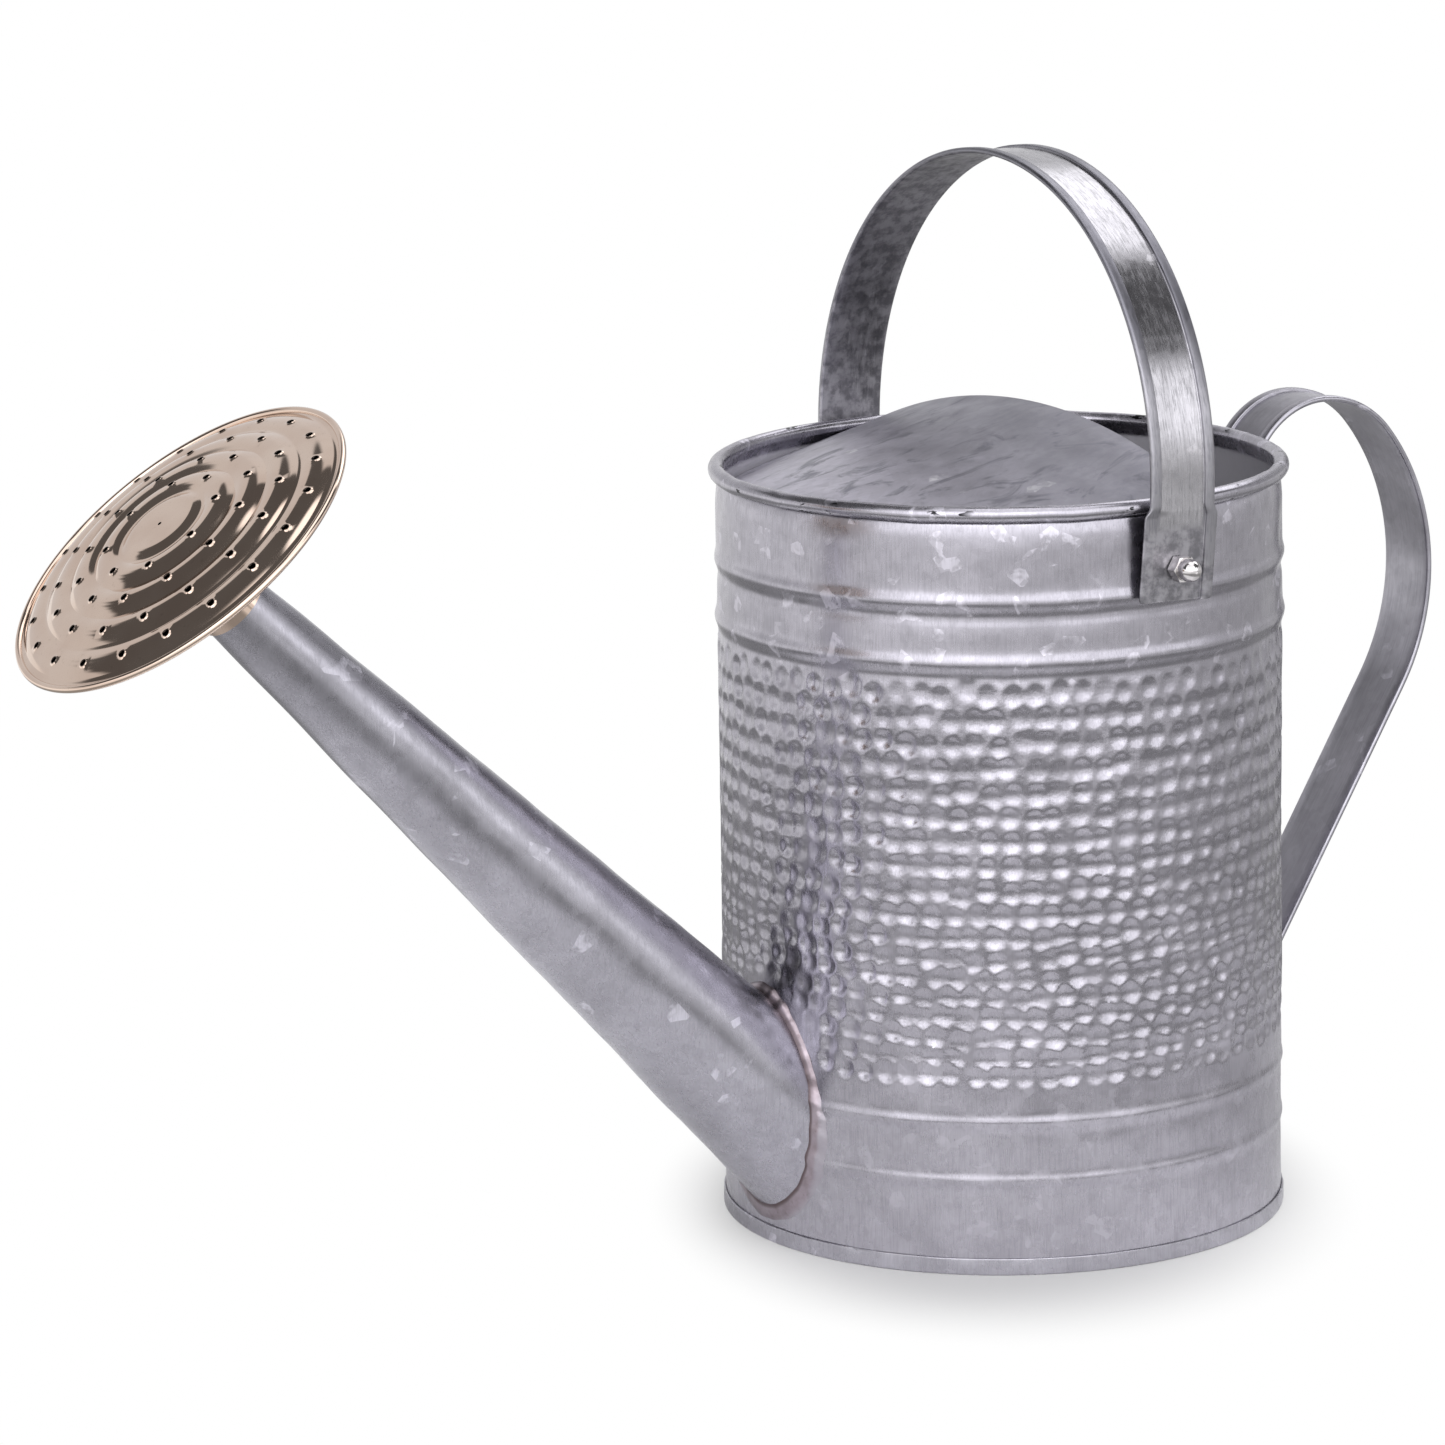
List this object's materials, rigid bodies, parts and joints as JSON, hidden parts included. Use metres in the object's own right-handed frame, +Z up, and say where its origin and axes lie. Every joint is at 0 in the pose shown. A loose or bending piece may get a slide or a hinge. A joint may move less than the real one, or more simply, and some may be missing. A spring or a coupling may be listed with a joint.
{
  "type": "watering can",
  "caption": "Galvanised watering can: beaded round body with a half-covered mouth, straight soldered spout with a push-on perforated rose, swinging bail and fixed rear strap handle.",
  "frame": {"origin": "on the round body's axis, at the floor that the base seam stands on", "axes": "+Z up along the body's axis, spout towards -X, rear handle towards +X, the bail's pivot axis along Y"},
  "size_m": [0.5283, 0.22, 0.3608],
  "materials": {
    "hammered_zinc": "galvanised, bluish grey, hammered and satin",
    "plain_zinc": "galvanised, bluish grey, satin with faint spangles",
    "dull_zinc": "galvanised, dull and blotchy",
    "strap_zinc": "galvanised strap, brighter, with lengthwise streaks",
    "solder": "reddish brown solder fillet, uneven and satin",
    "rose_metal": "polished, pale champagne",
    "fastener_zinc": "zinc plated",
    "nut_chrome": "bright plated"
  },
  "bodies": {
    "can": {"body_wall": "hammered_zinc", "rim_wire": "plain_zinc", "base_pan": "plain_zinc", "hood": "dull_zinc", "spout": "plain_zinc", "spout_solder": "solder", "rear_handle": "strap_zinc", "pivot_bolts": "fastener_zinc", "inner_washers": "fastener_zinc", "pivot_spacers": "fastener_zinc", "acorn_nuts": "nut_chrome"},
    "bail": {"bail": "strap_zinc"},
    "rose": {"rose_face": "rose_metal", "rose_back": "rose_metal", "rose_socket": "rose_metal"}
  },
  "joints": [
    {"name": "bail_swing", "type": "hinge", "parent": "can", "child": "bail", "pos_m": [0.0039, 0, 0.234], "axis": [0, 1, 0], "range_deg": [-123, 67]},
    {"name": "rose_pull", "type": "slide", "parent": "can", "child": "rose", "axis": [-0.7132, 0, 0.7009], "range_m": [0, 0.03]}
  ]
}
